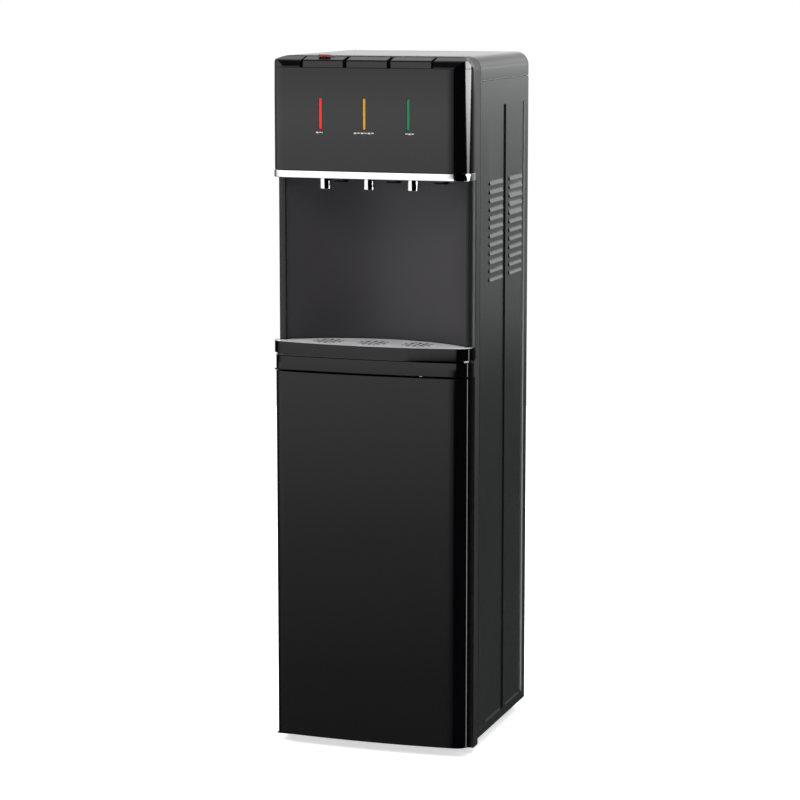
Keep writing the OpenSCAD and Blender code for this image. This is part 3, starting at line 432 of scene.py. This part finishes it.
def grow(name, points, tree, sizes, material, edges=()):
    """Runs a tree on these points and returns the result as a plain piece."""
    seed_mesh = bpy.data.meshes.new(name)
    seed_mesh.from_pydata(points, edges, [])
    piece = bpy.data.objects.new(name, seed_mesh)
    scene.collection.objects.link(piece)
    modifier = piece.modifiers.new("grow", "NODES")
    modifier.node_group = tree
    for item in tree.interface.items_tree:
        if item.in_out == "INPUT" and item.name in sizes:
            modifier[item.identifier] = sizes[item.name]
    bake_modifiers(piece)
    piece.data.materials.clear()
    piece.data.materials.append(material)
    piece.data.shade_smooth()
    piece.data.set_sharp_from_angle(angle=math.radians(35))
    return piece


# Pan-head screws with a cross recess, one on each point. The cutting bars are longer
# than the head's radius, and half of each stands above it.
CUTTER_LENGTH = 1.3
SCREW = {"Head radius": 0.004, "Head height": 0.0024, "Slot": 0.0009, "Depth": 0.0011}
tree, size = sized_tree("pan_screws", SCREW)
head = add(tree, "GeometryNodeMeshCylinder", {"Vertices": 32},
           {"Radius": size["Head radius"], "Depth": size["Head height"]})
long = add(tree, "ShaderNodeMath", {"operation": "MULTIPLY", 1: CUTTER_LENGTH},
           {0: size["Head radius"]})
cutters = add(tree, "GeometryNodeJoinGeometry")
for a, b in (("X", "Y"), ("Y", "X")):
    sides = add(tree, "ShaderNodeCombineXYZ", links={
        a: long.outputs[0], b: size["Slot"], "Z": size["Depth"]})
    bar = add(tree, "GeometryNodeMeshCube", links={"Size": sides.outputs[0]})
    half = add(tree, "ShaderNodeMath", {"operation": "MULTIPLY", 1: 0.5},
               {0: size["Head height"]})
    lifted = add(tree, "ShaderNodeCombineXYZ", links={"Z": half.outputs[0]})
    moved = add(tree, "GeometryNodeTransform",
                links={0: bar.outputs[0], "Translation": lifted.outputs[0]})
    tree.links.new(moved.outputs[0], cutters.inputs[0])
recess = add(tree, "GeometryNodeMeshBoolean", {"operation": "DIFFERENCE"},
             {0: head.outputs[0], 1: cutters.outputs[0]})
facing = add(tree, "GeometryNodeTransform",
             {"Rotation": (math.radians(-90), 0, 0)}, {0: recess.outputs[0]})
spread = add(tree, "GeometryNodeInstanceOnPoints",
             links={"Points": size["Geometry"], "Instance": facing.outputs[0]})
end_tree(tree, spread.outputs[0], zinc)
low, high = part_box("back_screws")
screw_y = high.y - SCREW["Head height"] / 2
SCREW_X = high.x - SCREW["Head radius"]
SCREW_ZS = (0.062, 0.3465, 0.651, 0.9598)
screws = grow("panel_screws", [(s * SCREW_X, screw_y, z) for s in (-1, 1)
                               for z in SCREW_ZS], tree, SCREW, zinc)
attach(screws, "cabinet")
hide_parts("back_screws")

# ---------------------------------------------------------------------------
# Switches, spout and gland on the back: nylon bezels with rocker switches for
# heating and cooling, a drain spout with a screw cap, and a rubber cord gland.

# Injection-moulded nylon: black, low sheen
nylon = finish("black_nylon", "#0d0d0e", "#151516", (0.38, 0.48), grain_mm=0.5,
               depth_mm=0.012)
# Translucent-looking polycarbonate keys, red and green, with a clean moulded gloss
red_gloss = finish("red_polycarbonate", "#8e0f1c", "#a51525", (0.12, 0.2),
                   grain_mm=4, depth_mm=0.002)
green_gloss = finish("green_polycarbonate", "#0d6a35", "#117a40", (0.12, 0.2),
                     grain_mm=4, depth_mm=0.002)
# Moulded polypropylene in its natural white: waxy
white_pp = finish("white_polypropylene", "#cfd0cb", "#dcdcd8", (0.28, 0.38),
                  grain_mm=0.9, depth_mm=0.01)
moulded("switch_bezels", "switch_frames", nylon, 0)
moulded("heat_rocker", "heat_switch_rocker", red_gloss, 0.5)
moulded("cool_rocker", "cool_switch_rocker", green_gloss, 0.5)
moulded("cord_gland", "cord_gland_rubber", foot_rubber, 0.5)
moulded("drain_spout", "drain_spout_moulding", white_pp, 0.4)
moulded("drain_cap", "drain_screw_cap", nylon, 0.6)

# ---------------------------------------------------------------------------
# Condenser: one steel tube bent to and fro behind the back panel, with thin
# upright wires spot-welded on both sides, dipped in black enamel.

# Dipped enamel: black, with the runs of a thick coat
enamel = finish("black_dip_enamel", "#0b0b0c", "#141415", (0.22, 0.34), grain_mm=3,
                depth_mm=0.02, patch_mm=30)
moulded("condenser_tube", "condenser_serpentine", enamel, 0)
low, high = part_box("condenser_wires")
tube_low, tube_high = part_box("condenser_tube")
WIRES = {"Wires": 19, "Width": 0.18, "Length": high.z - low.z, "Wire radius": 0.0007}
tree, size = sized_tree("condenser_wires", WIRES)
steps = add(tree, "ShaderNodeMath", {"operation": "SUBTRACT", 1: 1.0}, {0: size["Wires"]})
gap = add(tree, "ShaderNodeMath", {"operation": "DIVIDE"},
          {0: size["Width"], 1: steps.outputs[0]})
stride = add(tree, "ShaderNodeCombineXYZ", links={"X": gap.outputs[0]})
row = add(tree, "GeometryNodeMeshLine", {"mode": "OFFSET"},
          {"Count": size["Wires"], "Offset": stride.outputs[0]})
wire = add(tree, "GeometryNodeMeshCylinder", {"Vertices": 12},
           {"Radius": size["Wire radius"], "Depth": size["Length"]})
comb = add(tree, "GeometryNodeInstanceOnPoints",
           links={"Points": row.outputs[0], "Instance": wire.outputs[0]})
layers = add(tree, "GeometryNodeInstanceOnPoints",
             links={"Points": size["Geometry"], "Instance": comb.outputs[0]})
end_tree(tree, layers.outputs[0], enamel)
wire_y = (tube_low.y - WIRES["Wire radius"], tube_high.y + WIRES["Wire radius"])
grid = grow("condenser_wire_grid",
            [(-WIRES["Width"] / 2, y, (low.z + high.z) / 2) for y in wire_y],
            tree, WIRES, enamel)
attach(grid, "cabinet")
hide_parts("condenser_wires")


def pressed_bar(name, boxes, material, body, edge_mm=0.3):
    """A small pressed piece of one or more straight flanges, each (lowest, highest)."""
    mesh = bpy.data.meshes.new(name)
    shape = bmesh.new()
    for a, b in boxes:
        made = bmesh.ops.create_cube(shape, size=1)["verts"]
        bmesh.ops.scale(shape, vec=[q - p for p, q in zip(a, b)], verts=made)
        bmesh.ops.translate(shape, vec=[(p + q) / 2 for p, q in zip(a, b)], verts=made)
    bmesh.ops.bevel(shape, geom=shape.edges[:], offset=edge_mm / 1000, segments=2,
                    affect="EDGES", profile=0.5)
    shape.to_mesh(mesh)
    shape.free()
    mesh.materials.append(material)
    piece = bpy.data.objects.new(name, mesh)
    scene.collection.objects.link(piece)
    mesh.shade_smooth()
    mesh.set_sharp_from_angle(angle=math.radians(40))
    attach(piece, body)
    return piece


# Four brackets of bent strip hold the tube off the back panel: one flange lies on the
# panel, with a hair of paint between, and one reaches back to the wires
STRIP_T, STRIP_HALF, FOOT_L, PAINT_T = 0.0015, 0.008, 0.014, 0.0001
back_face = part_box("back_panel")[1].y
for side, word in ((-1, "left"), (1, "right")):
    for z, place in ((0.44533, "low"), (0.74933, "high")):
        flanges = []
        for reach, y in ((STRIP_T, high.y), (FOOT_L, back_face + STRIP_T)):
            xs = sorted(side * (tube_high.x + x) for x in (0, reach))
            flanges.append(((xs[0], back_face + PAINT_T, z - STRIP_HALF),
                            (xs[1], y, z + STRIP_HALF)))
        pressed_bar(f"condenser_bracket_{word}_{place}", flanges, enamel,
                    "cabinet")

# ---------------------------------------------------------------------------
# Machine bay: zinc-plated shelves carry a hermetic compressor on grommets, a
# foam-jacketed hot tank and cold tank, a pump, and copper and silicone lines.

# Brushed stainless: grey with fine upright scratches
stainless = finish("brushed_stainless", "#a9abac", "#bfc0c0", (0.22, 0.34), metal=1.0,
                   grain_mm=0.5, depth_mm=0.01, patch_mm=12, stretch=(1, 1, 0.06))
# Moulded bead foam: dull white, with 3 mm beads pressed together
bead_foam = finish("expanded_bead_foam", "#d9d8cf", "#e6e5dc", (0.8, 0.92),
                   grain_mm=3, depth_mm=0.3, patch_mm=4)
# Moulded ABS, left grey inside the cabinet: even and dull
grey_abs = finish("grey_abs", "#56585a", "#626466", (0.34, 0.44), grain_mm=0.8,
                  depth_mm=0.012)
# Extruded silicone: milky, lets a little light through
silicone = finish("silicone_hose", "#c4c4be", "#d4d4ce", (0.3, 0.42), ior=1.41,
                  grain_mm=2, depth_mm=0.01)
hose_shader = silicone.node_tree.nodes["Principled BSDF"]
hose_shader.inputs["Transmission Weight"].default_value = 0.35
# Drawn copper tube: warm, lightly tarnished in patches
copper = finish("drawn_copper", "#a5623f", "#bb7a55", (0.22, 0.36), metal=1.0,
                grain_mm=0.6, depth_mm=0.008, patch_mm=14)


def carried(node, material):
    """A CAD node that is shown as it is, in this material."""
    data = frame["nodes"][node].data
    data.materials.clear()
    data.materials.append(material)
    for polygon in data.polygons:
        polygon.material_index = 0


moulded("machine_shelves", "machine_shelf_plates", zinc, 0.3)
moulded("compressor", "compressor_shell", enamel, 1.2, 3)
carried("compressor_grommets", foot_rubber)
carried("hot_tank", stainless)
moulded("hot_tank_jacket", "hot_tank_foam", bead_foam, 2.5, 3)
carried("cold_tank", stainless)
moulded("cold_tank_jacket", "cold_tank_foam", bead_foam, 2.5, 3)
moulded("water_pump", "water_pump_housing", grey_abs, 0.8)
moulded("water_hoses", "silicone_hoses", silicone, 0)
moulded("refrigerant_pipes", "copper_lines", copper, 0)
moulded("bottle_probe", "bottle_probe_cap", white_pp, 0.8)

# ---------------------------------------------------------------------------
# Niche: one satin black ABS moulding whose hollow back is an arc, closed above by
# the tap plate that the three nozzles pass through.

# Satin ABS, spark-eroded, so that drips and fingers don't show
niche_satin = finish("satin_black_abs", "#2e2c30", "#343236", (0.34, 0.42), grain_mm=0.8,
                     depth_mm=0.008, patch_mm=160)
moulded("niche_panel", "niche_back", niche_satin, 0.5)
moulded("tap_plate", "tap_plate_moulding", nylon, 0.4)
moulded("tap_valves", "tap_valve_bodies", grey_abs, 0.5)
# Chrome on ABS: bright, bluish and nearly flawless
chrome = finish("chrome_plating", "#f1f3f5", "#f8f9fa", (0.04, 0.07), metal=1.0,
                grain_mm=5, depth_mm=0.001, patch_mm=40)
for tap in ("hot", "room", "cold"):
    moulded(f"{tap}_nozzle", f"{tap}_tap_nozzle", chrome, 0.9, 3)

# ---------------------------------------------------------------------------
# Chrome trim: a plated strip that snaps on under the control fascia and stands
# a millimetre or two proud of it all round.

moulded("chrome_trim", "chrome_trim_strip", chrome, 0.7, 3)

# ---------------------------------------------------------------------------
# Control fascia: a bowed gloss black moulding with three slots for lamp lenses
# in red, amber and green, and small printed marks below them.

# Gloss ABS from a polished mould: almost a mirror, with slow waves as it cools
gloss_black = finish("polished_black_abs", "#030304", "#050507", (0.03, 0.05),
                     grain_mm=9, depth_mm=0.0012, patch_mm=120)
moulded("control_fascia", "fascia_moulding", gloss_black, 0.6)


def lens(name, dark, light, glow):
    """Tinted acrylic with a faint lamp behind it."""
    material = finish(name, dark, light, (0.12, 0.2), ior=1.49, grain_mm=3,
                      depth_mm=0.004, patch_mm=12)
    shader = material.node_tree.nodes["Principled BSDF"]
    shader.inputs["Emission Color"].default_value = linear(light)
    shader.inputs["Emission Strength"].default_value = glow
    return material


LENSES = {"hot_lamp": lens("red_acrylic", "#ac050e", "#c40c16", 0.45),
          "low_water_lamp": lens("amber_acrylic", "#96700f", "#b28a22", 0.28),
          "cold_lamp": lens("green_acrylic", "#005030", "#006a3c", 0.33)}
for node, tint in LENSES.items():
    moulded(node, node + "_lens", tint, 0.4, split=True)

# Pad-printed silver ink, a few hundredths of a millimetre thick
ink = finish("silver_print_ink", "#a9a9ab", "#c2c2c4", (0.45, 0.55), grain_mm=0.4,
             depth_mm=0.004)
# Mark width and dashes under each lamp, in metres: plain dashes, no lettering
MARKS = {"hot_lamp": (0.013, 3), "low_water_lamp": (0.031, 6), "cold_lamp": (0.018, 4)}
MARK_DROP, MARK_H, DASH_GAP, LOW_DASH = 0.0020, 0.0022, 0.0012, 0.7
# The ink stands out of the fascia by the first and reaches into it by the second
INK_OUT, INK_IN = 0.00006, 0.0004
FASCIA_BOW_R = 4.226
fascia_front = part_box("control_fascia")[0].y
for node, (width, dashes) in MARKS.items():
    low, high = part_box(node)
    x = (low.x + high.x) / 2
    z = low.z - MARK_DROP
    dash = (width - (dashes - 1) * DASH_GAP) / dashes
    y = fascia_front + x * x / (2 * FASCIA_BOW_R)
    bars = []
    for i in range(dashes):
        left = x - width / 2 + i * (dash + DASH_GAP)
        tall = MARK_H if i % 2 == 0 else LOW_DASH * MARK_H
        bars.append(((left, y - INK_OUT, z - tall), (left + dash, y + INK_IN, z)))
    pressed_bar(node + "_mark", bars, ink, "cabinet", 0.02)

# Boards: glass-epoxy under green solder mask, with tracks as slightly raised lines. A
# brick of the pattern is four tracks long.
TRACK_MM, TRACKS_LONG = 2.5, 4
solder_mask = bpy.data.materials.new("green_solder_mask")
solder_mask.use_nodes = True
tree = solder_mask.node_tree
shader = tree.nodes["Principled BSDF"]
shader.inputs["Roughness"].default_value = 0.3
place = add(tree, "ShaderNodeTexCoord")
tracks = add(tree, "ShaderNodeTexBrick",
             {"Scale": 1000 / TRACK_MM / TRACKS_LONG, "Mortar Size": 0.08,
              "Color1": linear("#0b4a26"), "Color2": linear("#0d5229"),
              "Mortar": linear("#2b7a45")})
turned = add(tree, "ShaderNodeMapping", {"Rotation": (math.radians(90), 0, 0)},
             {"Vector": place.outputs["Object"]})
tree.links.new(turned.outputs[0], tracks.inputs["Vector"])
tree.links.new(tracks.outputs["Color"], shader.inputs["Base Color"])
raised = add(tree, "ShaderNodeBump", {"Strength": 0.6, "Distance": 0.0001},
             {"Height": tracks.outputs["Fac"]})
tree.links.new(raised.outputs[0], shader.inputs["Normal"])
carried("circuit_boards", solder_mask)

# ---------------------------------------------------------------------------
# Button deck: a gloss black cap with a well for three wide push buttons, each
# on a white rod and a coil spring; the hot one carries a red sliding lock.

moulded("button_deck", "deck_cap", gloss_black, 0.8, 3)
# The keys are the same gloss ABS, a little scuffed by fingers
button_gloss = finish("gloss_black_abs_keys", "#111113", "#151518", (0.09, 0.13),
                      grain_mm=7, depth_mm=0.002, patch_mm=60)
# Coil springs of stainless wire round the rods
SPRING = {"Coil radius": 0.0054, "Wire radius": 0.0005, "Length": 0.0244, "Turns": 6.0}
tree, size = sized_tree("button_spring", SPRING)
helix = add(tree, "GeometryNodeCurveSpiral", {"Resolution": 28},
            {"Rotations": size["Turns"], "Start Radius": size["Coil radius"],
             "End Radius": size["Coil radius"], "Height": size["Length"]})
section = add(tree, "GeometryNodeCurvePrimitiveCircle", {"Resolution": 10},
              {"Radius": size["Wire radius"]})
coil = add(tree, "GeometryNodeCurveToMesh", {"Fill Caps": True},
           {0: helix.outputs[0], "Profile Curve": section.outputs[0]})
seated = add(tree, "GeometryNodeInstanceOnPoints",
             links={"Points": size["Geometry"], "Instance": coil.outputs[0]})
end_tree(tree, seated.outputs[0], stainless)
for tap in ("hot", "room", "cold"):
    moulded(f"{tap}_button", f"{tap}_push_button", button_gloss, 0.6)
    moulded(f"{tap}_push_rod", f"{tap}_rod", white_pp, 0.3)
    low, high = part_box(f"{tap}_spring")
    foot = ((low.x + high.x) / 2, (low.y + high.y) / 2, low.z + SPRING["Wire radius"])
    spring = grow(f"{tap}_return_spring", [foot], tree, SPRING, stainless)
    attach(spring, "cabinet")
    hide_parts(f"{tap}_spring")
    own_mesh(spring)
moulded("child_lock", "child_lock_slider", red_gloss, 0.5)

# ---------------------------------------------------------------------------
# Top cover: folded steel in the same powder coat, behind the buttons.

moulded("top_cover", "folded_top_cover", powder_coat, 0.5)

# ---------------------------------------------------------------------------
# Band, drip tray and grille: a gloss band that holds the tray's shelf, a bowed
# black tray that pulls out, and a silver grille pierced by three flowers.

moulded("band_panel", "band_moulding", gloss_black, 0.5)
moulded("drip_tray", "bowed_drip_tray", gloss_black, 1.2, 3)
# Silver on the grille's upper face only; its hole walls and underside are painted near
# black, as painted shade in the holes.
# A little of the silver, the flakes' share, is metallic.
FLAKE_SHARE = 0.1
silver_and_shade_paint = finish("silver_with_painted_hole_shade", "#e6e6e8", "#f2f2f4", (0.2, 0.28),
                      grain_mm=0.5, depth_mm=0.006, patch_mm=25)
painted = silver_and_shade_paint.node_tree
lacquered = painted.nodes["Principled BSDF"]
facing = add(painted, "ShaderNodeTexCoord")
rise = add(painted, "ShaderNodeSeparateXYZ", links={0: facing.outputs["Normal"]})
unshaded_top = add(painted, "ShaderNodeMapRange", {"From Min": 0.6, "From Max": 0.9},
                 {"Value": rise.outputs["Z"]})
silver = lacquered.inputs["Base Color"].links[0].from_socket
# Faces that don't look up get near black here: painted shade in the grille's holes
silver_and_hole_shade = add(painted, "ShaderNodeMix", {"data_type": "RGBA", 6: linear("#060607")},
           {0: unshaded_top.outputs[0], 7: silver})
flakes = add(painted, "ShaderNodeMath", {"operation": "MULTIPLY", 1: FLAKE_SHARE},
             {0: unshaded_top.outputs[0]})
painted.links.new(silver_and_hole_shade.outputs[2], lacquered.inputs["Base Color"])
painted.links.new(flakes.outputs[0], lacquered.inputs["Metallic"])
moulded("drip_grille", "pierced_grille", silver_and_shade_paint, 0.15)

# ---------------------------------------------------------------------------
# Shade pads: three shallow blocks of gloss black ABS under the front lip of the tap plate,
# between the
# taps. They are painted shade: dark pieces put where the shade beside the nozzles falls.

# Each is this far behind the lip and this far below the trim
SHADE_PAD_XS = (-0.046, 0.036, 0.110)
SHADE_PAD_HALF, SHADE_PAD_DEPTH, SHADE_PAD_DROP, SHADE_PAD_BACK, SHADE_PAD_ROOT = 0.0105, 0.009, 0.0052, 0.004, 0.0005
plate_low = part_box("tap_plate")[0]
shade_pad_front = plate_low.y + SHADE_PAD_BACK
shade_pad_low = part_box("chrome_trim")[0].z - SHADE_PAD_DROP
# Dark blocks standing in for the shade beside each nozzle: painted shade
for number, x in enumerate(SHADE_PAD_XS):
    pressed_bar(f"tap_plate_shade_pad_{number + 1}",
                [((x - SHADE_PAD_HALF, shade_pad_front, shade_pad_low),
                  (x + SHADE_PAD_HALF, shade_pad_front + SHADE_PAD_DEPTH, plate_low.z + SHADE_PAD_ROOT))],
                gloss_black, "cabinet", 1.2)


# ---------------------------------------------------------------------------
# Door: a gloss black shell over a grey liner, hung on two steel pins at the
# left, with a strike plate on the right that a magnet in the frame holds.

moulded("door_shell", "door_front", gloss_black, 1.2, 3)
moulded("door_liner", "door_liner_sheet", grey_abs, 0.4)
# Steel leaves blackened over their zinc, so they don't shine in the gaps
black_zinc = finish("blackened_zinc", "#1c1d1f", "#28292b", (0.42, 0.5), metal=0.6,
                    grain_mm=1.2, depth_mm=0.004, patch_mm=12)
moulded("strike_plate", "strike_plate_steel", black_zinc, 0.3)
moulded("magnetic_catch", "magnetic_catch_body", nylon, 0.4)
moulded("lower_hinge", "lower_hinge_leaf", black_zinc, 0.2)
moulded("upper_hinge", "upper_hinge_leaf", black_zinc, 0.2)
